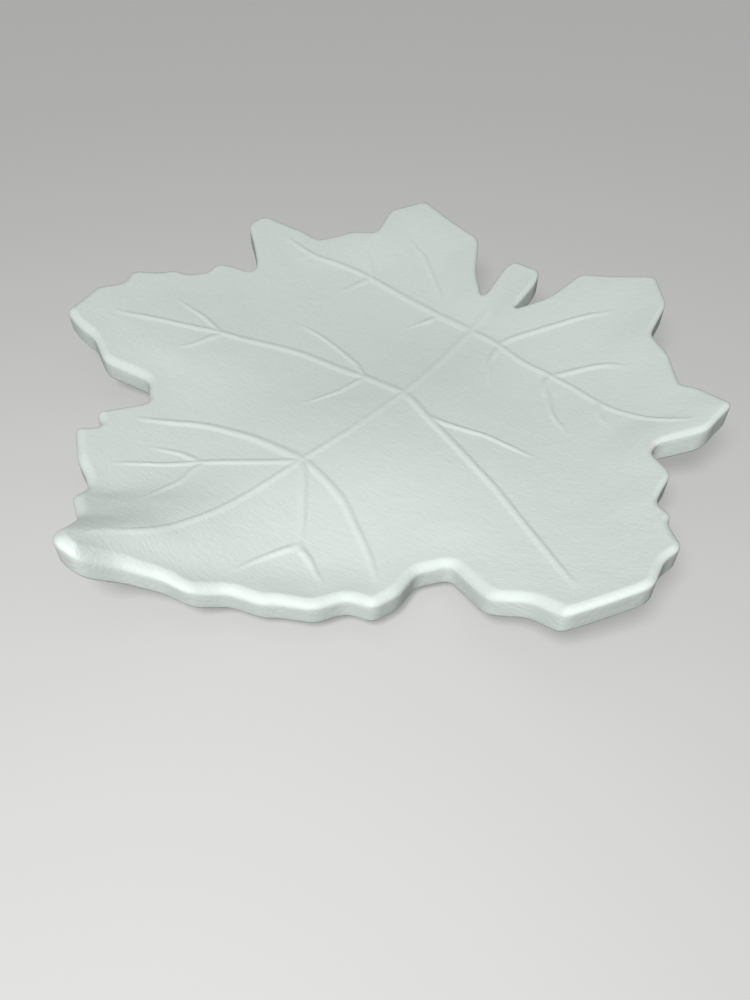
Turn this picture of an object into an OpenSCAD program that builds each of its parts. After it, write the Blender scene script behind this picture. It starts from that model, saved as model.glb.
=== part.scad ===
// Leaf shaped plate: one moulded piece with a dished leaf, raised veins and a short stem as its handle.
// Millimetres. X runs across the leaf, Y from the apex to the stem and Z up. The foot stands on Z = 0.

/* [Leaf] */
// Nominal width of the leaf: half of it is the unit of the outline and of the veins
leaf_width = 280; // [200:1:360]
// How far along its two edges each corner of the outline starts to round
corner_round = 3; // [2:0.5:6]

/* [Dish] */
// Thickness of the floor in the middle
floor_thickness = 10; // [6:0.5:14]
// Radius of the level middle of the top
well_radius = 35; // [20:1:60]
// Rise of the top surface from the middle to the side lobes
lobe_lift = 29; // [5:1:45]
// Further rise of the apex lobe
apex_lift = 17; // [0:1:25]
// Distance from the middle at which the apex lobe starts its further rise
apex_lift_start = 72; // [50:1:100]
// Extra thickness of the apex lobe at its tip
apex_thickening = 2; // [0:0.25:4]
// Radius of the level foot under the plate
foot_radius = 52; // [30:1:80]

/* [Rim] */
// Radius of the upper edge
rim_round = 3; // [1:0.25:3.5]
// Radius of the lower edge
under_round = 1.5; // [0.5:0.25:3]

/* [Stem] */
// Width of the stem at its root
stem_width = 17.5; // [10:0.5:26]
// Length of the stem beyond the notches at its root
stem_length = 23; // [8:0.5:36]

/* [Veins] */
// Width of the midrib and the main veins where they start
main_vein_width = 4.6; // [2:0.1:7]
// Width of the side veins where they start
side_vein_width = 4; // [1.5:0.1:6]
// Height of a vein above the surface
vein_height = 0.6; // [0.3:0.05:2]

/* [Hidden] */

half_width = leaf_width / 2;
// A vein reaches this far down into the plate
vein_root = floor_thickness / 6;
// A vein's crest and its far end, as shares of its width where it starts
crest_share = 0.36;
vein_end_share = 0.5;
bead_sides = 8;
corner_points = 3;
// Bands of the top between the well and the rim, and of the underside between the foot and the rim
top_bands = 8;
under_bands = 5;
rim_steps = 3;
under_steps = 2;

// The outline as shares of half the width, each side from the apex round to the notch beside the stem.
// Straight edges meet at corners, which rounded_outline() softens. The two sides differ a little.
apex_share = 0.82;
right_shares = [
    // apex lobe, from its tip to the notch above it
    [0.06, -0.81], [0.075, -0.73], [0.135, -0.67], [0.21, -0.65], [0.25, -0.575], [0.335, -0.545],
    [0.355, -0.52], [0.435, -0.475], [0.465, -0.40], [0.535, -0.385], [0.55, -0.31], [0.53, -0.22],
    [0.58, -0.15],
    // wide side lobe
    [0.65, -0.18], [0.73, -0.215], [0.815, -0.18], [0.88, -0.195], [0.905, -0.20], [1.015, -0.045],
    [0.995, 0.05], [1.01, 0.10], [0.94, 0.185], [0.94, 0.21], [0.885, 0.25], [0.875, 0.295],
    [0.87, 0.355], [0.85, 0.38], [0.78, 0.435],
    // upper side lobe
    [0.78, 0.475], [0.875, 0.53], [0.88, 0.585], [0.89, 0.63], [0.77, 0.69], [0.725, 0.695],
    [0.63, 0.81], [0.54, 0.875],
    // lobe beside the stem
    [0.525, 0.985], [0.435, 1.075], [0.195, 1.045], [0.145, 0.935],
];
left_shares = [
    // apex lobe
    [0, -apex_share], [-0.05, -0.80], [-0.15, -0.70], [-0.26, -0.655], [-0.29, -0.595],
    [-0.345, -0.57], [-0.415, -0.55], [-0.535, -0.48], [-0.505, -0.415], [-0.57, -0.39],
    [-0.55, -0.315], [-0.53, -0.235], [-0.605, -0.175],
    // wide side lobe
    [-0.64, -0.185], [-0.74, -0.24], [-0.835, -0.205], [-0.88, -0.22], [-0.95, -0.22], [-0.995, -0.07],
    [-0.975, 0.02], [-1.0, 0.075], [-0.95, 0.16], [-0.94, 0.20], [-0.90, 0.23], [-0.87, 0.295],
    [-0.88, 0.34], [-0.845, 0.38], [-0.78, 0.42],
    // upper side lobe
    [-0.79, 0.46], [-0.86, 0.51], [-0.925, 0.545], [-0.91, 0.615], [-0.775, 0.68], [-0.71, 0.695],
    [-0.635, 0.81], [-0.565, 0.86],
    // lobe beside the stem
    [-0.58, 0.955], [-0.49, 1.055], [-0.225, 1.04], [-0.15, 0.93],
];
// The notches beside the stem lie on the stem's sides, at this share of half the width
notch_share = 0.855;
// The stem swells towards its free end, by this share of its width, and its end is narrower
stem_swell_share = 0.12;
stem_end_share = 0.88;

// Middle of the leaf, about which the well, the foot and the bands between them are drawn
middle_share = 0.10;
middle = [0, half_width * middle_share];
// A corner's rounding takes at most this share of a short edge
longest_round_share = 0.45;

// Veins as shares of half the width, each from its start to its end
main_vein_shares = [
    // right side
    [[0, 0.71], [0.11, 0.70], [0.24, 0.665], [0.34, 0.645], [0.45, 0.615], [0.56, 0.575], [0.65, 0.555],
     [0.73, 0.55], [0.83, 0.565]],
    [[0, 0.365], [0.06, 0.345], [0.12, 0.32], [0.20, 0.29], [0.30, 0.25], [0.40, 0.205], [0.50, 0.155],
     [0.65, 0.06], [0.75, -0.01], [0.875, -0.105]],
    [[0, -0.085], [0.10, -0.105], [0.20, -0.135], [0.30, -0.19], [0.40, -0.25], [0.49, -0.32]],
    [[0, -0.09], [0.05, -0.135], [0.11, -0.195], [0.17, -0.255], [0.24, -0.34]],
    // left side
    [[0, 0.71], [-0.15, 0.705], [-0.25, 0.70], [-0.35, 0.695], [-0.43, 0.69], [-0.50, 0.68], [-0.60, 0.655],
     [-0.67, 0.63], [-0.80, 0.61]],
    [[0, 0.365], [-0.15, 0.345], [-0.20, 0.33], [-0.30, 0.31], [-0.40, 0.285], [-0.50, 0.24], [-0.58, 0.195],
     [-0.65, 0.155], [-0.70, 0.115], [-0.80, 0.02], [-0.89, -0.09]],
    [[0, -0.085], [-0.10, -0.10], [-0.20, -0.12], [-0.30, -0.16], [-0.36, -0.20], [-0.41, -0.25],
     [-0.48, -0.32]],
    [[0, -0.09], [-0.075, -0.165], [-0.125, -0.21], [-0.17, -0.255], [-0.205, -0.295], [-0.26, -0.375],
     [-0.30, -0.425], [-0.345, -0.49]],
];
side_vein_shares = [
    // right side
    [[0.12, 0.70], [0.15, 0.745], [0.19, 0.785], [0.24, 0.83], [0.29, 0.87], [0.34, 0.90], [0.39, 0.92]],
    [[0.355, 0.64], [0.385, 0.66], [0.42, 0.685], [0.46, 0.71], [0.50, 0.725], [0.555, 0.73]],
    [[0.125, 0.695], [0.14, 0.625], [0.17, 0.58], [0.20, 0.54]],
    [[0.345, 0.645], [0.365, 0.595], [0.395, 0.565], [0.42, 0.535], [0.46, 0.495], [0.54, 0.44]],
    [[0.55, 0.58], [0.57, 0.545], [0.595, 0.52], [0.625, 0.505]],
    [[0.13, 0.32], [0.175, 0.32], [0.25, 0.33], [0.33, 0.34], [0.40, 0.335], [0.51, 0.32]],
    [[0.24, -0.34], [0.30, -0.36], [0.35, -0.385], [0.395, -0.405]],
    [[0.24, -0.34], [0.22, -0.41], [0.21, -0.46], [0.205, -0.515]],
    // left side
    [[-0.13, 0.71], [-0.18, 0.765], [-0.23, 0.80], [-0.28, 0.83], [-0.33, 0.86], [-0.38, 0.875],
     [-0.43, 0.89]],
    [[-0.44, 0.69], [-0.46, 0.715], [-0.485, 0.735], [-0.51, 0.755], [-0.54, 0.77]],
    [[-0.135, 0.705], [-0.15, 0.67], [-0.17, 0.64], [-0.20, 0.595]],
    [[-0.435, 0.69], [-0.455, 0.655], [-0.475, 0.605], [-0.495, 0.575]],
    [[-0.665, 0.635], [-0.685, 0.61], [-0.70, 0.58]],
    [[-0.15, 0.345], [-0.18, 0.355], [-0.21, 0.37], [-0.26, 0.38], [-0.35, 0.39], [-0.43, 0.39],
     [-0.50, 0.38]],
    [[-0.155, 0.34], [-0.16, 0.28], [-0.165, 0.23], [-0.18, 0.18], [-0.195, 0.13], [-0.21, 0.11]],
    [[-0.65, 0.155], [-0.73, 0.155], [-0.79, 0.14], [-0.84, 0.125]],
    [[-0.645, 0.155], [-0.655, 0.10], [-0.66, 0.055], [-0.67, 0.015], [-0.68, -0.01]],
    [[-0.205, -0.295], [-0.265, -0.31], [-0.30, -0.33], [-0.35, -0.365]],
    [[-0.20, -0.295], [-0.19, -0.34], [-0.175, -0.39], [-0.175, -0.44], [-0.175, -0.50], [-0.18, -0.525]],
];
// The midrib runs down the middle from the stem's root to the apex lobe
midrib_shares = [
    [0, 0.84], [0, 0.71], [-0.005, 0.50], [-0.005, 0.365], [0, 0.10], [-0.005, -0.09], [-0.005, -0.20],
    [-0.01, -0.38], [-0.025, -0.50], [-0.04, -0.60], [-0.05, -0.66], [-0.045, -0.71],
];

// The leaf's own shape

function blend(a, b, t) = a * (1 - t) + b * t;
function around(points, i) = points[(i + len(points)) % len(points)];

notch_y = half_width * notch_share;
stem_corners = [
    [stem_width / 2, notch_y],
    [stem_width * (1 + stem_swell_share) / 2, notch_y + stem_length * 3 / 4],
    [stem_width * stem_end_share / 2, notch_y + stem_length],
];
function reversed(points) = [for (i = [len(points) - 1 : -1 : 0]) points[i]];
corners = concat(
    right_shares * half_width,
    stem_corners,
    reversed([for (p = stem_corners) [-p[0], p[1]]]),
    reversed(left_shares) * half_width
);

// Three points round each corner: where the straight edges end, and between them the middle of the curve
function edge_point(from, to) =
    from + (to - from) * min(corner_round / norm(to - from), longest_round_share);
function corner_curve(before, corner, after) =
    let (a = edge_point(corner, before), b = edge_point(corner, after))
    [a, blend(blend(a, b, 1 / 2), corner, 1 / 2), b];
function rounded_outline(points) = [
    for (i = [0 : len(points) - 1])
        for (p = corner_curve(around(points, i - 1), points[i], around(points, i + 1))) p
];
outline = rounded_outline(corners);
outline_count = len(outline);
corner_count = len(corners);

// Unit vector into the plate, square to the outline at a point
function inward(i) =
    let (along = around(outline, i + 1) - around(outline, i - 1))
    [-along[1], along[0]] / norm(along);
function inset(distance) = [for (i = [0 : outline_count - 1]) outline[i] + inward(i) * distance];

// The dish

// How far a point lies along the apex lobe: 0 where its further rise starts, and 1 at its tip
function along_apex(p) = max(-p[1] - apex_lift_start, 0) / (half_width * apex_share - apex_lift_start);
function rise(p) =
    let (outside = max(norm(p) - well_radius, 0) / (half_width - well_radius))
    lobe_lift * pow(outside, 2) + apex_lift * pow(along_apex(p), 2);
// The underside is level as far as the foot's edge and then keeps its distance from the top
foot_rise = rise([foot_radius, 0]);
function top_z(p) = floor_thickness + rise(p);
function under_z(p) = max(rise(p) - foot_rise - apex_thickening * pow(along_apex(p), 2), 0);

// Rings of the shell

function ring_at(points, z_shift) = [for (p = points) [p[0], p[1], top_z(p) + z_shift]];
function under_ring_at(points, z_shift) = [for (p = points) [p[0], p[1], under_z(p) + z_shift]];

// Inner rings have one point for each corner, on rays from a circle in the middle to the rim
function corner_middles(points) = [for (i = [0 : corner_count - 1]) points[i * corner_points + 1]];
function circle_point(target, radius) = radius * (target - middle) / norm(target - middle);
function between(targets, radius, share) = [for (p = targets) blend(circle_point(p, radius), p, share)];
under_targets = corner_middles(inset(under_round));
top_targets = corner_middles(inset(rim_round));

// The shell's rings in order: along the underside from the foot out, up over the edge, and in over the top
under_rings = [
    for (k = [0 : under_bands - 1]) under_ring_at(between(under_targets, foot_radius, k / under_bands), 0)
];
lower_edge_rings = [
    for (k = [0 : under_steps])
        let (turn = 90 * k / under_steps)
        under_ring_at(inset(under_round * (1 - sin(turn))), under_round * (1 - cos(turn)))
];
upper_edge_rings = [
    for (k = [0 : rim_steps])
        let (turn = 90 * k / rim_steps)
        ring_at(inset(rim_round * (1 - cos(turn))), -rim_round * (1 - sin(turn)))
];
top_rings = [
    for (k = [top_bands - 1 : -1 : 0]) ring_at(between(top_targets, well_radius, k / top_bands), 0)
];

// Triangles, clockwise seen from outside

function flipped(triangles) = [for (t = triangles) [t[1], t[0], t[2]]];
// From the ring of that size at start to the next one
function band(start, size) = [
    for (i = [0 : size - 1])
        let (a = start + i, b = start + (i + 1) % size)
        each [[a, a + size, b + size], [a, b + size, b]]
];
function bands(start, size, count) = [for (k = [0 : count - 1]) each band(start + k * size, size)];
// From a ring of the outline to the inner ring that has one point for each corner
function fan(outline_start, inner_start) = [
    for (i = [0 : corner_count - 1])
        let (
            next = (i + 1) % corner_count,
            a = outline_start + i * corner_points,
            d = outline_start + next * corner_points,
            m = inner_start + i,
            n = inner_start + next
        )
        each [[a, m, a + 1], [a + 1, m, a + 2], [a + 2, m, n], [a + 2, n, d]]
];

module shell() {
    edge_rings = concat(lower_edge_rings, upper_edge_rings);
    edge_start = under_bands * corner_count;
    last_edge = edge_start + (len(edge_rings) - 1) * outline_count;
    top_start = last_edge + outline_count;
    last_top = top_start + (top_bands - 1) * corner_count;
    points = [for (ring = concat(under_rings, edge_rings, top_rings)) each ring];
    foot_face = [for (i = [0 : corner_count - 1]) i];
    well_face = [for (i = [corner_count - 1 : -1 : 0]) last_top + i];
    faces = concat(
        [foot_face],
        bands(0, corner_count, under_bands - 1),
        flipped(fan(edge_start, edge_start - corner_count)),
        bands(edge_start, outline_count, len(edge_rings) - 1),
        fan(last_edge, top_start),
        bands(top_start, corner_count, top_bands - 1),
        [well_face]
    );
    polyhedron(points = points, faces = faces);
}

// One low boss of a vein, on the dish's surface, with sides that slope down into the plate
module bead(p, width) {
    root_width = width * (1 + (1 - crest_share) * vein_root / vein_height);
    translate([p[0], p[1], top_z(p) - vein_root])
        cylinder(h = vein_root + vein_height, d1 = root_width, d2 = width * crest_share, $fn = bead_sides);
}

// A vein is a run of hulls from bead to bead, narrowing to its end
module vein(shares, width) {
    count = len(shares) - 1;
    for (i = [0 : count - 1])
        hull() {
            bead(shares[i] * half_width, width * blend(1, vein_end_share, i / count));
            bead(shares[i + 1] * half_width, width * blend(1, vein_end_share, (i + 1) / count));
        }
}

module veins() {
    vein(midrib_shares, main_vein_width);
    for (shares = main_vein_shares) vein(shares, main_vein_width);
    for (shares = side_vein_shares) vein(shares, side_vein_width);
}

// The origin lies under the middle of the whole part's width and length
outline_x = [for (p = outline) p[0]];
outline_y = [for (p = outline) p[1]];
centre = [(max(outline_x) + min(outline_x)) / 2, (max(outline_y) + min(outline_y)) / 2];

module leaf_plate() {
    color([0.86, 0.88, 0.86])
        translate([-centre[0], -centre[1], 0])
            union() {
                shell();
                veins();
            }
}

leaf_plate();
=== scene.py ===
# %% [markdown]
# # A leaf shaped plate
#
# The real object is one moulded piece of matte white ceramic: a broad, lobed leaf with a rounded rim,
# veins that stand up as thin ridges, and a short stem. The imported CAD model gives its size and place,
# so the first step is to load that model as a frame that nothing here may move.

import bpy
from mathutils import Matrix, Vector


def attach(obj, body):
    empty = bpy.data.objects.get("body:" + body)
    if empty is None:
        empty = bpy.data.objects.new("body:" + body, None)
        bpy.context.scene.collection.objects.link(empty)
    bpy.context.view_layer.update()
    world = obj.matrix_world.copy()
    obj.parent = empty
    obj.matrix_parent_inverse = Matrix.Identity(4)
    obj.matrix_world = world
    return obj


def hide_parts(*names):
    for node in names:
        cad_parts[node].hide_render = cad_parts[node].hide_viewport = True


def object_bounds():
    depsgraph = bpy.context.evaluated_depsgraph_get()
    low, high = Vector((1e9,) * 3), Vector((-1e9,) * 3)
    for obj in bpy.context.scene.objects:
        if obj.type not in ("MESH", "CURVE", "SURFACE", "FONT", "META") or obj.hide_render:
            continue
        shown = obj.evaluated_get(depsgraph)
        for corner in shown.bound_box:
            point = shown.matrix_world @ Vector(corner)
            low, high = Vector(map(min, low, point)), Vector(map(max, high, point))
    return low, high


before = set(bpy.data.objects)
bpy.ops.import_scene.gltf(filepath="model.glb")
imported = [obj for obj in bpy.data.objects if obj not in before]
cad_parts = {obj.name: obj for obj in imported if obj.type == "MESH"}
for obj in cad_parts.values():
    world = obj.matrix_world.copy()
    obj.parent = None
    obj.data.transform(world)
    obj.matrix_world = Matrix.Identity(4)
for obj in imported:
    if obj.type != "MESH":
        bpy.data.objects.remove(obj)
cad_box = [list(corner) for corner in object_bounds()]
print("CAD box, metres:", [[round(v, 4) for v in corner] for corner in cad_box])

# %% Libraries
import math

import bpy
import numpy as np
from mathutils import Matrix
from mathutils.geometry import delaunay_2d_cdt

# %% [markdown]
# ## Sizes
#
# Lengths are in millimetres while the shape is worked out, because the plate's own sizes are easy to
# read that way, and one factor turns them into Blender's metres at the end. These are the sizes of the
# CAD model, repeated here because the script reads nothing but the frame.

# %% Driving sizes
METRE = 0.001  # one millimetre in metres
half_width = 140.0
corner_round = 3.0
floor_thickness = 10.0
well_radius = 35.0
lobe_lift = 29.0
apex_lift = 17.0
apex_lift_start = 72.0
apex_thickening = 2.0
foot_radius = 52.0
under_round = 1.5
stem_width = 17.5
stem_length = 23.0
main_vein_width = 4.6
side_vein_width = 4.0
vein_height = 0.6
print("plate of", 2 * half_width, "mm to the corners, floor", floor_thickness, "mm")

# %% [markdown]
# ## The outline
#
# The leaf's edge is straight between small corners, as if it had been cut with a knife and then
# smoothed with a wet finger. So the outline is a list of corners for each side, given as shares of half
# the width, because the two sides of the real leaf differ. Each corner is then a
# short curve: a quadratic Bezier curve (a parabola that leaves one edge and arrives on the next). Curves
# drawn by hand in Blender could give the same line, but a list and a formula can be changed in one place.

# %% Corners of the outline
apex_share = 0.82
notch_share = 0.855
stem_swell_share = 0.12
stem_end_share = 0.88
right_shares = np.array([
    # apex lobe, from its tip to the notch above it
    (0.06, -0.81), (0.075, -0.73), (0.135, -0.67), (0.21, -0.65), (0.25, -0.575), (0.335, -0.545),
    (0.355, -0.52), (0.435, -0.475), (0.465, -0.40), (0.535, -0.385), (0.55, -0.31), (0.53, -0.22),
    (0.58, -0.15),
    # wide side lobe
    (0.65, -0.18), (0.73, -0.215), (0.815, -0.18), (0.88, -0.195), (0.905, -0.20), (1.015, -0.045),
    (0.995, 0.05), (1.01, 0.10), (0.94, 0.185), (0.94, 0.21), (0.885, 0.25), (0.875, 0.295),
    (0.87, 0.355), (0.85, 0.38), (0.78, 0.435),
    # upper side lobe
    (0.78, 0.475), (0.875, 0.53), (0.88, 0.585), (0.89, 0.63), (0.77, 0.69), (0.725, 0.695),
    (0.63, 0.81), (0.54, 0.875),
    # lobe beside the stem
    (0.525, 0.985), (0.435, 1.075), (0.195, 1.045), (0.145, 0.935),
])
left_shares = np.array([
    # apex lobe
    (0, -apex_share), (-0.05, -0.80), (-0.15, -0.70), (-0.26, -0.655), (-0.29, -0.595),
    (-0.345, -0.57), (-0.415, -0.55), (-0.535, -0.48), (-0.505, -0.415), (-0.57, -0.39),
    (-0.55, -0.315), (-0.53, -0.235), (-0.605, -0.175),
    # wide side lobe
    (-0.64, -0.185), (-0.74, -0.24), (-0.835, -0.205), (-0.88, -0.22), (-0.95, -0.22), (-0.995, -0.07),
    (-0.975, 0.02), (-1.0, 0.075), (-0.95, 0.16), (-0.94, 0.20), (-0.90, 0.23), (-0.87, 0.295),
    (-0.88, 0.34), (-0.845, 0.38), (-0.78, 0.42),
    # upper side lobe
    (-0.79, 0.46), (-0.86, 0.51), (-0.925, 0.545), (-0.91, 0.615), (-0.775, 0.68), (-0.71, 0.695),
    (-0.635, 0.81), (-0.565, 0.86),
    # lobe beside the stem
    (-0.58, 0.955), (-0.49, 1.055), (-0.225, 1.04), (-0.15, 0.93),
])
notch_y = half_width * notch_share
stem_corners = np.array([
    (stem_width / 2, notch_y),
    (stem_width * (1 + stem_swell_share) / 2, notch_y + stem_length * 3 / 4),
    (stem_width * stem_end_share / 2, notch_y + stem_length),
])
corners = np.vstack([
    right_shares * half_width, stem_corners, stem_corners[::-1] * (-1, 1), left_shares[::-1] * half_width])
print(len(corners), "corners round the leaf")

# %% Round the corners and space the points evenly
corner_samples = 9
edge_spacing = 0.9
soft_passes = 2
longest_round_share = 0.45


def rounded(points):
    """A closed line with a quadratic Bezier curve at each corner: (1-t)^2 a + 2t(1-t) corner + t^2 b."""
    before, after = np.roll(points, 1, axis=0) - points, np.roll(points, -1, axis=0) - points
    reach = [np.minimum(corner_round / np.linalg.norm(edge, axis=1), longest_round_share)[:, None] * edge
             for edge in (before, after)]
    a, b = points + reach[0], points + reach[1]
    t = np.linspace(0, 1, corner_samples)[None, :, None]
    curve = (1 - t) ** 2 * a[:, None] + 2 * t * (1 - t) * points[:, None] + t**2 * b[:, None]
    return curve.reshape(-1, 2)


def evenly(points, spacing, closed=True):
    """The same line with points at an even distance, found by interpolating along its length."""
    line = np.vstack([points, points[:1]]) if closed else points
    length = np.concatenate([[0], np.cumsum(np.linalg.norm(np.diff(line, axis=0), axis=1))])
    count = int(round(length[-1] / spacing)) + (0 if closed else 1)
    at = np.linspace(0, length[-1], max(count, 2), endpoint=not closed)
    return np.stack([np.interp(at, length, line[:, k]) for k in (0, 1)], axis=1)


def softened(points, passes):
    """Each point of a closed line moves a quarter of the way to each neighbour, so many times."""
    for _ in range(passes):
        points = points / 2 + (np.roll(points, 1, axis=0) + np.roll(points, -1, axis=0)) / 4
    return points


outline = softened(evenly(rounded(corners), edge_spacing), soft_passes)
centre = (outline.max(axis=0) + outline.min(axis=0)) / 2
print(len(outline), "outline points; size", (outline.max(axis=0) - outline.min(axis=0)).round(1), "mm")

# %% [markdown]
# ## Where the camera stands
#
# The camera comes early, because the lines on the leaf were measured from where it stands. It looks down
# at the plate from in front of the wide side lobe and the apex.

# %% Place of the camera
camera_tilt = math.radians(42.61)  # below the horizon
camera_roll = math.radians(-0.69)
leaf_turn = math.radians(-41.31)
camera_height = 203.5
dish_from_camera = np.array([-21.0, 242.7])  # middle of the dish, to the right of and beyond the camera's foot
focal_pixels = 751.0
picture_width = 750.0

across = np.array([math.cos(leaf_turn), math.sin(leaf_turn)])
along_leaf = np.array([-across[1], across[0]])


def to_leaf(vector):
    """A direction given as right, away and up, in the leaf's own axes."""
    flat = np.array(vector[:2])
    return np.array([flat @ across, flat @ along_leaf, vector[2]])


camera_place = to_leaf([-dish_from_camera[0], -dish_from_camera[1], camera_height])
print("camera at", camera_place.round(1), "mm from the middle of the dish")

# %% [markdown]
# ## The dish
#
# The top is level in the middle and rises with the square of the distance outside that, so the lobes
# curl up. The apex lobe rises more, and is a little thicker at its tip. The underside is level as far as
# the foot's edge, then keeps its distance from the top. A height function like this is all that the mesh
# needs: every point of the plate is (x, y, height(x, y)).


# %% Heights of the top and the underside
def along_apex(points):
    """0 where the apex lobe's further rise starts, and 1 at its tip."""
    return np.maximum(-points[..., 1] - apex_lift_start, 0) / (half_width * apex_share - apex_lift_start)


def rise(points):
    """Lift times ((r - well) / (half width - well))^2, plus the apex lobe's own lift, squared the same way."""
    outside = np.maximum(np.linalg.norm(points, axis=-1) - well_radius, 0) / (half_width - well_radius)
    return lobe_lift * outside**2 + apex_lift * along_apex(points) ** 2


foot_rise = float(rise(np.array([foot_radius, 0.0])))


def under_height(points):
    """Zero under the foot, and outside it the top's rise less the rise at the foot's edge."""
    return np.maximum(rise(points) - foot_rise - apex_thickening * along_apex(points) ** 2, 0)


print("rim rises to", round(float((floor_thickness + rise(outline)).max()), 1), "mm")

# %% [markdown]
# ## The veins
#
# On the real plate the veins are low ridges with a rounded crest that melt into the surface. Strips
# laid on the leaf would show an edge where they cross it. Here each vein is instead a bump of the height
# function: at a distance d from the vein's line the surface is raised by height * (1 - (d / b)^2)^2, with
# b half the width of its base. That is smooth at its crest and at its foot. Where veins meet, a high
# power mean of their heights blends them without a crease.

# %% Lines of the veins
# Each from its start to its end, as shares of half the width
midrib = [
    (0, 0.84), (0, 0.71), (-0.005, 0.50), (-0.005, 0.365), (0, 0.10), (-0.005, -0.09), (-0.005, -0.20),
    (-0.01, -0.38), (-0.025, -0.50), (-0.04, -0.60), (-0.05, -0.66), (-0.045, -0.71),
]
main_veins = [
    # right side
    [(0, 0.71), (0.11, 0.70), (0.24, 0.665), (0.34, 0.645), (0.45, 0.615), (0.56, 0.575), (0.65, 0.555),
     (0.73, 0.55), (0.83, 0.565)],
    [(0, 0.365), (0.06, 0.345), (0.12, 0.32), (0.20, 0.29), (0.30, 0.25), (0.40, 0.205), (0.50, 0.155),
     (0.65, 0.06), (0.75, -0.01), (0.875, -0.105)],
    [(0, -0.085), (0.10, -0.105), (0.20, -0.135), (0.30, -0.19), (0.40, -0.25), (0.49, -0.32)],
    [(0, -0.09), (0.05, -0.135), (0.11, -0.195), (0.17, -0.255), (0.24, -0.34)],
    # left side
    [(0, 0.71), (-0.15, 0.705), (-0.25, 0.70), (-0.35, 0.695), (-0.43, 0.69), (-0.50, 0.68), (-0.60, 0.655),
     (-0.67, 0.63), (-0.80, 0.61)],
    [(0, 0.365), (-0.15, 0.345), (-0.20, 0.33), (-0.30, 0.31), (-0.40, 0.285), (-0.50, 0.24), (-0.58, 0.195),
     (-0.65, 0.155), (-0.70, 0.115), (-0.80, 0.02), (-0.89, -0.09)],
    [(0, -0.085), (-0.10, -0.10), (-0.20, -0.12), (-0.30, -0.16), (-0.36, -0.20), (-0.41, -0.25),
     (-0.48, -0.32)],
    [(0, -0.09), (-0.075, -0.165), (-0.125, -0.21), (-0.17, -0.255), (-0.205, -0.295), (-0.26, -0.375),
     (-0.30, -0.425), (-0.345, -0.49)],
]
side_veins = [
    # right side
    [(0.12, 0.70), (0.15, 0.745), (0.19, 0.785), (0.24, 0.83), (0.29, 0.87), (0.34, 0.90), (0.39, 0.92)],
    [(0.355, 0.64), (0.385, 0.66), (0.42, 0.685), (0.46, 0.71), (0.50, 0.725), (0.555, 0.73)],
    [(0.125, 0.695), (0.14, 0.625), (0.17, 0.58), (0.20, 0.54)],
    [(0.345, 0.645), (0.365, 0.595), (0.395, 0.565), (0.42, 0.535), (0.46, 0.495), (0.54, 0.44)],
    [(0.55, 0.58), (0.57, 0.545), (0.595, 0.52), (0.625, 0.505)],
    [(0.13, 0.32), (0.175, 0.32), (0.25, 0.33), (0.33, 0.34), (0.40, 0.335), (0.51, 0.32)],
    [(0.24, -0.34), (0.30, -0.36), (0.35, -0.385), (0.395, -0.405)],
    [(0.24, -0.34), (0.22, -0.41), (0.21, -0.46), (0.205, -0.515)],
    # left side
    [(-0.13, 0.71), (-0.18, 0.765), (-0.23, 0.80), (-0.28, 0.83), (-0.33, 0.86), (-0.38, 0.875), (-0.43, 0.89)],
    [(-0.44, 0.69), (-0.46, 0.715), (-0.485, 0.735), (-0.51, 0.755), (-0.54, 0.77)],
    [(-0.135, 0.705), (-0.15, 0.67), (-0.17, 0.64), (-0.20, 0.595)],
    [(-0.435, 0.69), (-0.455, 0.655), (-0.475, 0.605), (-0.495, 0.575)],
    [(-0.665, 0.635), (-0.685, 0.61), (-0.70, 0.58)],
    [(-0.15, 0.345), (-0.18, 0.355), (-0.21, 0.37), (-0.26, 0.38), (-0.35, 0.39), (-0.43, 0.39),
     (-0.50, 0.38)],
    [(-0.155, 0.34), (-0.16, 0.28), (-0.165, 0.23), (-0.18, 0.18), (-0.195, 0.13), (-0.21, 0.11)],
    [(-0.65, 0.155), (-0.73, 0.155), (-0.79, 0.14), (-0.84, 0.125)],
    [(-0.645, 0.155), (-0.655, 0.10), (-0.66, 0.055), (-0.67, 0.015), (-0.68, -0.01)],
    [(-0.205, -0.295), (-0.265, -0.31), (-0.30, -0.33), (-0.35, -0.365)],
    [(-0.20, -0.295), (-0.19, -0.34), (-0.175, -0.39), (-0.175, -0.44), (-0.175, -0.50), (-0.18, -0.525)],
]
vein_spacing = 1.0
spline_samples = 12


def smooth_path(shares):
    """A Catmull-Rom spline: between two points it leaves along the line that joins their neighbours."""
    p = np.array(shares, dtype=float) * half_width
    p = np.vstack([2 * p[0] - p[1], p, 2 * p[-1] - p[-2]])
    t = np.linspace(0, 1, spline_samples, endpoint=False)[None, :, None]
    a, b, c, d = (p[k : len(p) - 3 + k, None] for k in range(4))
    curve = b + t / 2 * (c - a + t * (2 * a - 5 * b + 4 * c - d + t * (3 * (b - c) + d - a)))
    return evenly(np.vstack([curve.reshape(-1, 2), p[-2:-1]]), vein_spacing, closed=False)


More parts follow.
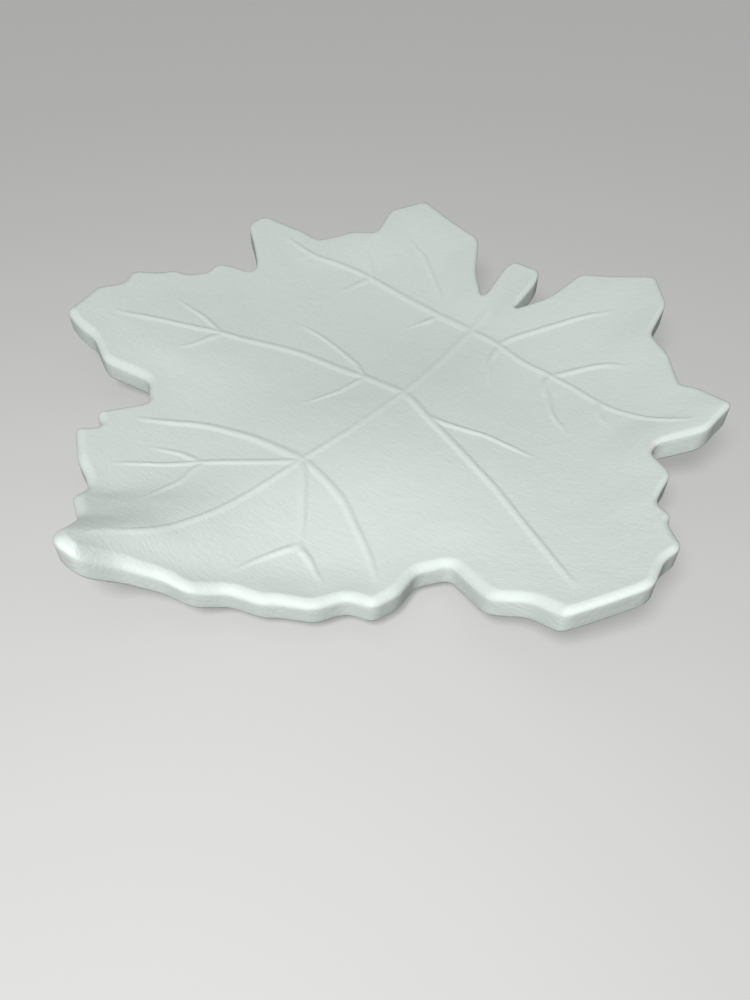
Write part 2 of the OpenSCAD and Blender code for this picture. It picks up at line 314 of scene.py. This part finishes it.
# The veins were drawn by hand. So the midrib's height changes along it and each main vein has a width
# and height of its own, while side veins share one height on each side, all as shares of the sizes above
main_widths = np.array([0.80, 1.00, 1.04, 1.04, 0.95, 1.13, 1.20, 0.96])
main_heights = np.array([0.95, 1.10, 0.97, 1.20, 0.98, 0.90, 0.98, 0.80])
midrib_width, midrib_heights = 1.13, [0.55, 0.60, 0.56, 0.75, 1.10, 1.12]
side_heights = [1.05] * 8 + [0.82] * 11
veins = [(smooth_path(midrib), midrib_width * main_vein_width, midrib_heights)]
veins += [(smooth_path(shares), width * main_vein_width, [height])
          for shares, width, height in zip(main_veins, main_widths, main_heights)]
veins += [(smooth_path(shares), side_vein_width, [height]) for shares, height in zip(side_veins, side_heights)]
print(len(veins), "veins,", sum(len(path) for path, _, _ in veins), "mm in all")

# %% Height of the veins at any point
half_base_share = 0.58  # half of a vein's base, as a share of its width
end_width_share = 0.6  # width of its end, as a share of its start
fade_length = 14.0
start_length, start_share = 5.0, 0.45  # a vein starts low, where it leaves another
blend_power = 6


def from_path(points, path):
    """Distance of each point from a line of short segments, and how far along it the nearest place is."""
    start, step = path[:-1], np.diff(path, axis=0)
    gap = points[:, None] - start[None]
    t = np.clip((gap * step).sum(-1) / (step**2).sum(-1), 0, 1)
    distance = np.linalg.norm(gap - t[..., None] * step, axis=-1)
    nearest = distance.argmin(axis=1)
    rows = np.arange(len(points))
    return distance[rows, nearest], (nearest + t[rows, nearest]) / len(start)


def vein_rise(points):
    """The power mean of every vein's own height at each point."""
    total = np.zeros(len(points))
    for path, width, heights in veins:
        near = np.all((points > path.min(axis=0) - width) & (points < path.max(axis=0) + width), axis=1)
        if not near.any():
            continue
        distance, along = from_path(points[near], path)
        length = len(path) * vein_spacing
        half_base = width * half_base_share * (1 - (1 - end_width_share) * along)
        own_height = np.interp(along, np.linspace(0, 1, len(heights)), heights)
        start = start_share + (1 - start_share) * np.clip(along * length / start_length, 0, 1)
        fade = np.clip((1 - along) * length / fade_length, 0, 1) ** 0.7
        height = vein_height * own_height * start * fade
        total[near] += (height * np.maximum(1 - (distance / half_base) ** 2, 0) ** 2) ** blend_power
    return total ** (1 / blend_power)


# %% [markdown]
# ## The mesh
#
# A plain grid would need millions of faces to catch soft ridges on a plate 280 mm wide. So the plate is
# made of three surfaces that share their border points:
#
# - the edge, a profile (lower quarter round, wall, upper edge) carried along the outline;
# - the top, a triangle mesh over chosen points: rows of points inside the edge and beside each vein, and
#   an even honeycomb of points elsewhere. Delaunay's rule joins them, which avoids thin triangles;
# - the underside, the same over a coarser honeycomb.
#
# A profile carried inwards crosses itself at a sharp corner. So only the outer part of each quarter
# round is carried; the rest is part of the top or the underside, where the height follows from the true
# distance to the outline, and the two sides of a corner meet in a clean line.


# %% Helpers: normals, distances, and what lies inside
def inward_normals(line):
    """Unit vectors square to the line of a closed outline that runs against the clock."""
    along = np.roll(line, -1, axis=0) - np.roll(line, 1, axis=0)
    inward = np.stack([-along[:, 1], along[:, 0]], axis=1)
    return inward / np.linalg.norm(inward, axis=1)[:, None]


def in_chunks(work, points, size=1200):
    """The same as work(points), a chunk of points at a time, which keeps the tables small."""
    return np.concatenate([work(points[k : k + size]) for k in range(0, len(points), size)])


def nearest_distance(points, targets):
    """Distance of each point from the nearest target."""
    return in_chunks(lambda some: np.linalg.norm(some[:, None] - targets[None], axis=-1).min(axis=1), points)


def inside(points, border):
    """Even-odd rule: a point is inside if a ray from it crosses the border an odd number of times."""
    a, b = border, np.roll(border, -1, axis=0)
    rise_y = np.where(b[:, 1] == a[:, 1], 1, b[:, 1] - a[:, 1])

    def odd(some):
        x, y = some[:, 0:1], some[:, 1:2]
        spans = (a[:, 1] > y) != (b[:, 1] > y)
        return (spans & (x < a[:, 0] + (y - a[:, 1]) * (b[:, 0] - a[:, 0]) / rise_y)).sum(axis=1) % 2 == 1

    return in_chunks(odd, points)


closed_outline = np.vstack([outline, outline[:1]])
coarse_step = 4  # every so many points of the outline give a first, rough distance


def from_edge(points, reach=45.0):
    """Distance of each point from the outline, exact near it, and to the nearest outline point beyond that."""
    distance = nearest_distance(points, outline[::coarse_step])
    near = distance < reach
    if near.any():
        distance[near] = in_chunks(lambda some: from_path(some, closed_outline)[0], points[near], 400)
    return distance


# %% [markdown]
# ## The hand-made differences
#
# The leaf was shaped and smoothed by hand, so it isn't as even as the formulas: its upper edge is round
# like a finger at the apex and tighter at the stem, the surface just inside the edge is pressed down in
# some places and raised in others, and each lobe swells or sinks by one to three millimetres. Sculpting
# by hand would do it too, but a few bells with a place, a height and a spread are easy to read and to
# change. The camera's sight then moves each vein's line, so that it lies on the swollen top where it was
# measured.

# %% Radius of the upper edge, gutters inside it, and swells
tight_round = 2.0
full_round = 4.4
edge_flatness = 0.33  # 0 is a quarter round and 1 a straight bevel
gutters = [
    # place by the edge as shares, then depth, spread along the edge and reach into the leaf in millimetres;
    # a depth below zero raises the place
    (0.44, -0.455, 1.0, 16.0, 10.0),
    (0.22, -0.625, 0.5, 12.0, 10.0),
    (0.96, -0.135, 0.5, 12.0, 10.0),
    (0.02, -0.80, -3.8, 20.0, 20.0),
    (-0.13, -0.72, -1.8, 12.0, 10.0),
    (0.87, 0.56, -1.0, 14.0, 14.0),
]
swells = [
    # place as shares, then height and spread in millimetres
    (-0.58, 0.06, 2.6, 22.0), (0.21, 0.21, 2.0, 30.0), (0.43, 0.11, 1.8, 30.0), (0.10, 0.43, 1.6, 20.0),
    (-0.21, 0.75, -2.0, 30.0), (-0.45, 0.75, -1.5, 30.0), (0.54, 0.64, -1.7, 30.0), (0.43, 0.75, -1.4, 30.0),
    (0.75, 0.32, -1.6, 30.0), (0.32, -0.43, -1.6, 20.0), (-0.03, -0.62, 2.6, 20.0),
]
swell_edge = 22.0  # the swells die away over this distance towards the edge
round_start, round_span = 0.35, 1.1  # where the edge starts to grow rounder and over how much, as shares


def edge_round(points):
    """Radius of the upper edge: grows evenly from the upper lobes down to the apex."""
    down = np.clip((round_start - points[..., 1] / half_width) / round_span, 0, 1)
    return tight_round + (full_round - tight_round) * down


def gutter(points, distance):
    """Minus depth * q * exp(1 - q), with q the distance from the edge over the reach; a bell along the edge."""
    total = np.zeros(len(points))
    for x, y, depth, spread, reach in gutters:
        away = np.linalg.norm(points - half_width * np.array([x, y]), axis=1)
        q = distance / reach
        total -= depth * q * np.exp(1 - q) * np.exp(-((np.maximum(away - distance, 0) / spread) ** 2))
    return total


def swell(points, distance):
    """A sum of bells, height * exp(-away^2 / (2 spread^2)), times a smooth step from 0 at the edge."""
    total = np.zeros(len(points))
    for x, y, height, spread in swells:
        away = np.linalg.norm(points - half_width * np.array([x, y]), axis=1)
        total += height * np.exp(-(away**2) / (2 * spread**2))
    q = np.clip(distance / swell_edge, 0, 1)
    return total * q * q * (3 - 2 * q)


def edge_drop(distance, radius, flatness):
    """How far the edge lies under the surface: between a quarter round, r - sqrt(r^2 - (r - d)^2), and r - d."""
    left = np.clip(radius - distance, 0, radius)
    return (1 - flatness) * (radius - np.sqrt(radius**2 - left**2)) + flatness * left


def shaped_by_hand(points, distance):
    """The swells and gutters together."""
    return swell(points, distance) + gutter(points, distance)


def top_height(points, distance):
    """The dish's top with its veins, hand-made shape and rounded edge."""
    return (floor_thickness + rise(points) + vein_rise(points) + shaped_by_hand(points, distance)
            - edge_drop(distance, edge_round(points), edge_flatness))


def bottom_height(points, distance):
    """The underside with its rounded lower edge."""
    return under_height(points) + edge_drop(distance, under_round, 0.0)


# %% The veins on the swollen top
sight_steps = 4


def under_sight(path):
    """A line measured on the plain dish, moved to where the camera's sight meets the shaped surface."""
    sight = camera_place[:2] - path
    drop = camera_place[2] - floor_thickness - rise(path)
    place = path
    for _ in range(sight_steps):
        place = path + sight * (shaped_by_hand(place, from_edge(place)) / drop)[:, None]
    return place


moved = [under_sight(path) for path, _, _ in veins]
furthest = max(float(np.abs(new - old[0]).max()) for new, old in zip(moved, veins))
print("veins move by up to", round(furthest, 1), "mm")
veins = [(path, width, heights) for path, (_, width, heights) in zip(moved, veins)]

# %% The edge
inward = inward_normals(outline)
upper_turn = np.radians(np.linspace(0, 40, 4))
lower_turn = np.radians([42, 60, 80, 90])
wall_steps = np.linspace(0, 1, 5)[1:-1]


def ring(inset, height):
    """The outline moved inwards, at a height given by a function of place and distance."""
    line = outline + inward * np.reshape(inset, (-1, 1))
    return np.column_stack([line, height(line, np.broadcast_to(inset, len(line)))])


lower_rings = [ring(under_round * (1 - math.sin(turn)), bottom_height) for turn in lower_turn]
upper_rings = [ring(edge_round(outline) * (1 - math.cos(turn)), top_height) for turn in upper_turn]
wall_rings = [lower_rings[-1] * (1 - t) + upper_rings[0] * t for t in wall_steps]
edge_rings = lower_rings + wall_rings + upper_rings
ring_size = len(outline)
print(len(edge_rings), "rings of", ring_size, "points")

# %% Points of the top and the underside
honeycomb = 2.3
vein_offsets = np.array([-1.5, -1.2, -1.0, -0.8, -0.6, -0.4, -0.2, 0, 0.2, 0.4, 0.6, 0.8, 1.0, 1.2, 1.5])
clear_of_border = 0.45
inset_slack = 0.98  # a row point closer to the outline than this share of its inset lies past a corner
thinning = 0.3
top_turns = np.array([50, 60, 70, 80, 90])  # rows on the inner part of the upper edge, in degrees of turn
beyond_round = [0.6, 1.4]
clear_of_rows = 0.8
under_insets = [0.9, 1.2, 1.5, 2.6]


def honeycomb_points(border, spacing):
    """Rows of evenly spaced points, every second row moved by half a step."""
    low, high = border.min(axis=0), border.max(axis=0)
    rows = np.arange(low[1], high[1], spacing * math.sqrt(3) / 2)
    columns = np.arange(low[0], high[0], spacing)
    x, y = np.meshgrid(columns, rows)
    x = x + (np.arange(len(rows)) % 2)[:, None] * spacing / 2
    return np.column_stack([x.ravel(), y.ravel()])


def beside_veins():
    """Rows of points along every vein, closer together where its slope turns."""
    rows = []
    for path, width, _ in veins:
        along = np.gradient(path, axis=0)
        across = np.stack([-along[:, 1], along[:, 0]], axis=1) / np.linalg.norm(along, axis=1)[:, None]
        half_base = width * half_base_share * np.linspace(1, end_width_share, len(path))
        step = vein_offsets[None] * half_base[:, None]
        rows.append((path[:, None] + across[:, None] * step[..., None]).reshape(-1, 2))
    return np.vstack(rows)


def beside_edge(insets):
    """Rows of points along the outline at these insets, less those past the middle line of a corner."""
    rows = np.vstack([outline + inward * np.reshape(inset, (-1, 1)) for inset in insets])
    wanted = np.concatenate([np.broadcast_to(inset, len(outline)) for inset in insets])
    return rows[from_edge(rows) > wanted * inset_slack]


def thinned(points, cell):
    """Keeps one point of those that share a small square cell."""
    _, keep = np.unique(np.round(points / cell).astype(int), axis=0, return_index=True)
    return points[np.sort(keep)]


def kept_inside(points, border, clear):
    """The points inside a border and clear of it."""
    points = points[inside(points, border)]
    return points[nearest_distance(points, border) > clear]


top_border = edge_rings[-1][:, :2]
vein_lines = np.vstack([path for path, _, _ in veins])
open_points = honeycomb_points(top_border, honeycomb)
vein_clear = vein_offsets[-1] * half_base_share * side_vein_width
open_points = open_points[nearest_distance(open_points, vein_lines) > vein_clear]
edge_clear = edge_round(open_points) + beyond_round[-1] + clear_of_rows
open_points = open_points[nearest_distance(open_points, outline) > edge_clear]
edge_rows = beside_edge(
    [edge_round(outline) * (1 - math.cos(math.radians(turn))) for turn in top_turns]
    + [edge_round(outline) + more for more in beyond_round])
top_inner = thinned(np.vstack([edge_rows, beside_veins(), open_points]), thinning)
top_inner = kept_inside(top_inner, top_border, clear_of_border)
under_border = edge_rings[0][:, :2]
under_inner = np.vstack([beside_edge(under_insets), honeycomb_points(under_border, 2 * honeycomb)])
under_inner = kept_inside(thinned(under_inner, thinning), under_border, clear_of_border)
print(len(top_inner), "points on the top,", len(under_inner), "on the underside")


# %% Join them into one closed mesh
def triangles_over(border, inner):
    """Delaunay triangles inside a border, as rows of numbers into border points followed by inner points."""
    flat = np.vstack([border, inner])
    loop = list(range(len(border)))
    found = delaunay_2d_cdt(flat.tolist(), [], [loop], 1, 1e-7)
    source = np.array([which[0] if which else -1 for which in found[3]])
    triangles = source[np.array([face for face in found[2] if len(face) == 3])]
    return triangles[(triangles >= 0).all(axis=1)]


def band_faces(ring_count, size):
    """Four-sided faces between each ring and the next, outward side up the wall."""
    k, i = np.meshgrid(np.arange(ring_count - 1), np.arange(size), indexing="ij")
    j = (i + 1) % size
    return np.stack([k * size + i, k * size + j, (k + 1) * size + j, (k + 1) * size + i], axis=-1).reshape(-1, 4)


edge_points = np.vstack(edge_rings)
last_ring = len(edge_points) - ring_size
top_points = np.column_stack([top_inner, top_height(top_inner, from_edge(top_inner))])
under_points = np.column_stack([under_inner, bottom_height(under_inner, from_edge(under_inner))])
all_points = np.vstack([edge_points, top_points, under_points])

top_numbers = np.concatenate([last_ring + np.arange(ring_size), len(edge_points) + np.arange(len(top_inner))])
under_numbers = np.concatenate(
    [np.arange(ring_size), len(edge_points) + len(top_inner) + np.arange(len(under_inner))])
top_faces = top_numbers[triangles_over(top_border, top_inner)]
under_faces = under_numbers[triangles_over(under_border, under_inner)][:, ::-1]
faces = band_faces(len(edge_rings), ring_size).tolist() + top_faces.tolist() + under_faces.tolist()
print(len(top_faces), "faces on the top,", len(under_faces), "on the underside,", len(faces), "in all")

# %% The piece
all_points[:, :2] -= centre
cad_low, cad_high = np.array(cad_box) / METRE
cad_size = np.array([min(-cad_low[0], cad_high[0]), min(-cad_low[1], cad_high[1]), cad_high[2]])
shrink = np.minimum(cad_size / np.abs(all_points).max(axis=0), 1)  # keeps the plate inside the CAD box
all_points *= shrink
mesh = bpy.data.meshes.new("leaf_plate_surface")
mesh.from_pydata((all_points * METRE).tolist(), [], faces)
mesh.validate()
mesh.polygons.foreach_set("use_smooth", np.ones(len(mesh.polygons), dtype=bool))
plate = bpy.data.objects.new("plate_body", mesh)
bpy.context.collection.objects.link(plate)
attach(plate, "root")
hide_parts("leaf_plate")
print("brought down to the CAD box by", (100 * (1 - shrink)).round(2), "percent")
print(len(mesh.vertices), "vertices,", sum(len(p.vertices) - 2 for p in mesh.polygons), "triangles")

# %% [markdown]
# ## Shader sums
#
# A material in Blender is a graph of nodes. This small class wraps an output socket, so that sums on
# values can be written as ordinary Python and each operator adds the Math node that it stands for. Any
# other node comes from one method.


# %% A class for shader values
class Value:
    """An output socket of a node tree that can be added, multiplied and so on."""

    def __init__(self, tree, socket):
        self.tree, self.socket = tree, socket

    def node(self, kind, settings=None, inputs=None, output=0):
        """A node of that type: settings are set first, then inputs by name or number, with values or links."""
        made = self.tree.nodes.new(kind)
        for name, value in (settings or {}).items():
            setattr(made, name, value)
        for name, value in (inputs or {}).items():
            if isinstance(value, Value):
                self.tree.links.new(value.socket, made.inputs[name])
            else:
                made.inputs[name].default_value = value
        return Value(self.tree, made.outputs[output] if made.outputs else None)

    def math(self, operation, first, second=0.0):
        return self.node("ShaderNodeMath", {"operation": operation}, {0: first, 1: second})

    def __add__(self, other):
        return self.math("ADD", self, other)

    def __mul__(self, other):
        return self.math("MULTIPLY", self, other)

    __radd__ = __add__
    __rmul__ = __mul__


# %% [markdown]
# ## The ceramic
#
# The plate is white, matte and slightly cool. Seen closely, its surface has a fine grain that was drawn
# out across the leaf when the wet clay was wiped, so the grain is over twice as long as wide. Its colour
# varies by a few percent over some centimetres, and a faint brown stain sits in one notch of the wall.
# Three scales of noise give the bump: shallow waves from the sponge, drawn-out grain of about a
# millimetre, and a finer tooth. The noise reads Object coordinates, so it has a real size and is the same
# from every side.

# %% Material of the plate
bisque_white = (0.74, 0.80, 0.765, 1.0)
bisque_shade = (0.70, 0.76, 0.725, 1.0)
stain_brown = (0.52, 0.46, 0.37, 1.0)
stain_middle = np.array([107.3, 45.6, 29.5])  # millimetres from the middle of the plate, at the notch
stain_radius = 5.0
stain_share, stain_ragged = 0.75, 0.003  # strength in its middle, and metres by which waves shift its border
cloud_scale, grain_scale, tooth_scale, wave_scale = 28.0, 700.0, 1900.0, 95.0
grain_relief, tooth_relief, wave_relief = 0.18, 0.03, 0.25  # millimetres
wipe_stretch = (0.38, 1.0, 1.0)  # a smaller factor draws the grain out across the leaf


def noise(start, place, scale, detail, rough=0.5):
    """A noise texture over that place, with a value of 0 to 1."""
    return start.node(
        "ShaderNodeTexNoise", {}, {"Vector": place, "Scale": scale, "Detail": detail, "Roughness": rough})


def raised(start, height, millimetres, under=None):
    """A Bump node: that many millimetres of relief for a height of 0 to 1, over another bump if there is one."""
    inputs = {"Strength": 1.0, "Distance": millimetres * METRE, "Height": height}
    if under is not None:
        inputs["Normal"] = under
    return start.node("ShaderNodeBump", {}, inputs)


def ceramic(name):
    """Cool white between two tones by noise; matte; relief of waves, wiped grain and tooth; one stain."""
    material = bpy.data.materials.new(name)
    material.use_nodes = True
    tree = material.node_tree
    tree.nodes.clear()
    start = Value(tree, None)
    place = start.node("ShaderNodeTexCoord", output="Object")
    drawn_out = start.node("ShaderNodeVectorMath", {"operation": "MULTIPLY"}, {0: place, 1: wipe_stretch})
    cloud = noise(start, place, cloud_scale, 3.0)
    grain = noise(start, drawn_out, grain_scale, 3.0, 0.6)
    tooth = noise(start, place, tooth_scale, 2.0, 0.6)
    waves = noise(start, place, wave_scale, 2.0)
    away = start.node(
        "ShaderNodeVectorMath", {"operation": "DISTANCE"}, {0: place, 1: stain_middle * METRE}, output="Value")
    stain = start.node(
        "ShaderNodeMapRange", {"interpolation_type": "SMOOTHSTEP"},
        {"Value": away + waves * stain_ragged, "From Min": 0.0, "From Max": stain_radius * METRE,
         "To Min": stain_share, "To Max": 0.0})
    colour = start.node(
        "ShaderNodeMix", {"data_type": "RGBA"},
        {0: cloud * 0.8 + grain * 0.2, 6: bisque_shade, 7: bisque_white}, output=2)
    colour = start.node("ShaderNodeMix", {"data_type": "RGBA"}, {0: stain, 6: colour, 7: stain_brown}, output=2)
    bump = raised(start, waves, wave_relief)
    bump = raised(start, grain, grain_relief, bump)
    bump = raised(start, tooth, tooth_relief, bump)
    surface = start.node(
        "ShaderNodeBsdfPrincipled", {},
        {"Base Color": colour, "Roughness": 0.6 + grain * 0.16, "Normal": bump, "IOR": 1.45})
    start.node("ShaderNodeOutputMaterial", {}, {"Surface": surface})
    return material


plate.data.materials.append(ceramic("matte_bisque"))

# %% [markdown]
# ## Floor, light and camera
#
# The plate stands on a plain pale floor. One soft lamp hangs high in front of the wide side lobe, so the
# veins and the edge throw small shades, and a weak even sky fills them. The floor is pale only where the
# camera or a reflection sees it. The light that it throws back at the plate's wall is that of a darker
# table, because a white one would wash out the shade under the edge.

# %% Floor
floor_size = 6.0
floor_seen = (0.66, 0.66, 0.65, 1)
floor_thrown = (0.10, 0.10, 0.10, 1)
own_glow = 0.5  # share of the seen floor that doesn't depend on the lamp
floor_mesh = bpy.data.meshes.new("floor_sheet")
floor_mesh.from_pydata(
    [(x * floor_size, y * floor_size, 0) for x, y in ((-1, -1), (1, -1), (1, 1), (-1, 1))], [], [(0, 1, 2, 3)])
floor = bpy.data.objects.new("floor", floor_mesh)
bpy.context.collection.objects.link(floor)


def pale_floor(name):
    """Seen by the camera or in a reflection: half lit colour, half even glow. By other light: a dark colour."""
    material = bpy.data.materials.new(name)
    material.use_nodes = True
    tree = material.node_tree
    tree.nodes.clear()
    start = Value(tree, None)
    seen = start.node("ShaderNodeLightPath", output="Is Camera Ray")
    seen = seen + start.node("ShaderNodeLightPath", output="Is Glossy Ray")
    seen = seen + start.node("ShaderNodeLightPath", output="Is Transmission Ray")
    colour = start.node("ShaderNodeMix", {"data_type": "RGBA"}, {0: seen, 6: floor_thrown, 7: floor_seen}, output=2)
    lit = start.node("ShaderNodeBsdfPrincipled", {}, {"Base Color": colour, "Roughness": 0.8})
    glow = start.node("ShaderNodeEmission", {}, {"Color": floor_seen, "Strength": 1.0})
    surface = start.node("ShaderNodeMixShader", {}, {0: seen * own_glow, 1: lit, 2: glow})
    start.node("ShaderNodeOutputMaterial", {}, {"Surface": surface})
    return material


floor_mesh.materials.append(pale_floor("pale_floor"))

# %% Light
lamp_place = np.array([0.180, -0.285, 0.385])
lamp_size = 0.12
lamp_level = 0.81  # how bright a white surface that faces the lamp becomes in the middle of the plate
sky_level = 0.21


def aim(location, target=(0, 0, 0)):
    """A rotation that points an object's -Z axis from a place to a target."""
    back = np.array(location, dtype=float) - target
    back /= np.linalg.norm(back)
    right = np.cross((0, 0, 1), back)
    right /= np.linalg.norm(right)
    return Matrix(np.column_stack([right, np.cross(back, right), back]).tolist())


lamp_place[:2] -= centre * METRE
lamp = bpy.data.lights.new("key", "AREA")
lamp.shape, lamp.size = "DISK", lamp_size
lamp.energy = lamp_level * math.pi**2 * float(lamp_place @ lamp_place)
key = bpy.data.objects.new("key", lamp)
key.matrix_world = Matrix.Translation(lamp_place.tolist()) @ aim(lamp_place).to_4x4()
bpy.context.collection.objects.link(key)
world = bpy.data.worlds.new("pale_sky")
world.use_nodes = True
world.node_tree.nodes["Background"].inputs["Color"].default_value = (0.95, 1.0, 0.98, 1)
world.node_tree.nodes["Background"].inputs["Strength"].default_value = sky_level
bpy.context.scene.world = world

# %% Camera
sensor = 36.0
forward = np.array([0, math.cos(camera_tilt), -math.sin(camera_tilt)])
level_right = np.array([1.0, 0, 0])
level_down = np.cross(forward, level_right)
right = math.cos(camera_roll) * level_right + math.sin(camera_roll) * level_down
down = -math.sin(camera_roll) * level_right + math.cos(camera_roll) * level_down
lens = bpy.data.cameras.new("camera")
lens.sensor_fit, lens.sensor_width = "HORIZONTAL", sensor
lens.lens = sensor * focal_pixels / picture_width
lens.clip_start, lens.clip_end = 0.01, 50.0
camera = bpy.data.objects.new("camera", lens)
turn = Matrix(np.column_stack([to_leaf(right), -to_leaf(down), -to_leaf(forward)]).tolist()).to_4x4()
camera.matrix_world = Matrix.Translation(((camera_place - (*centre, 0)) * METRE).tolist()) @ turn
bpy.context.collection.objects.link(camera)
bpy.context.scene.camera = camera
bpy.context.scene.view_settings.view_transform = "Standard"
print("lens", round(lens.lens, 1), "mm on a sensor", sensor, "mm wide")
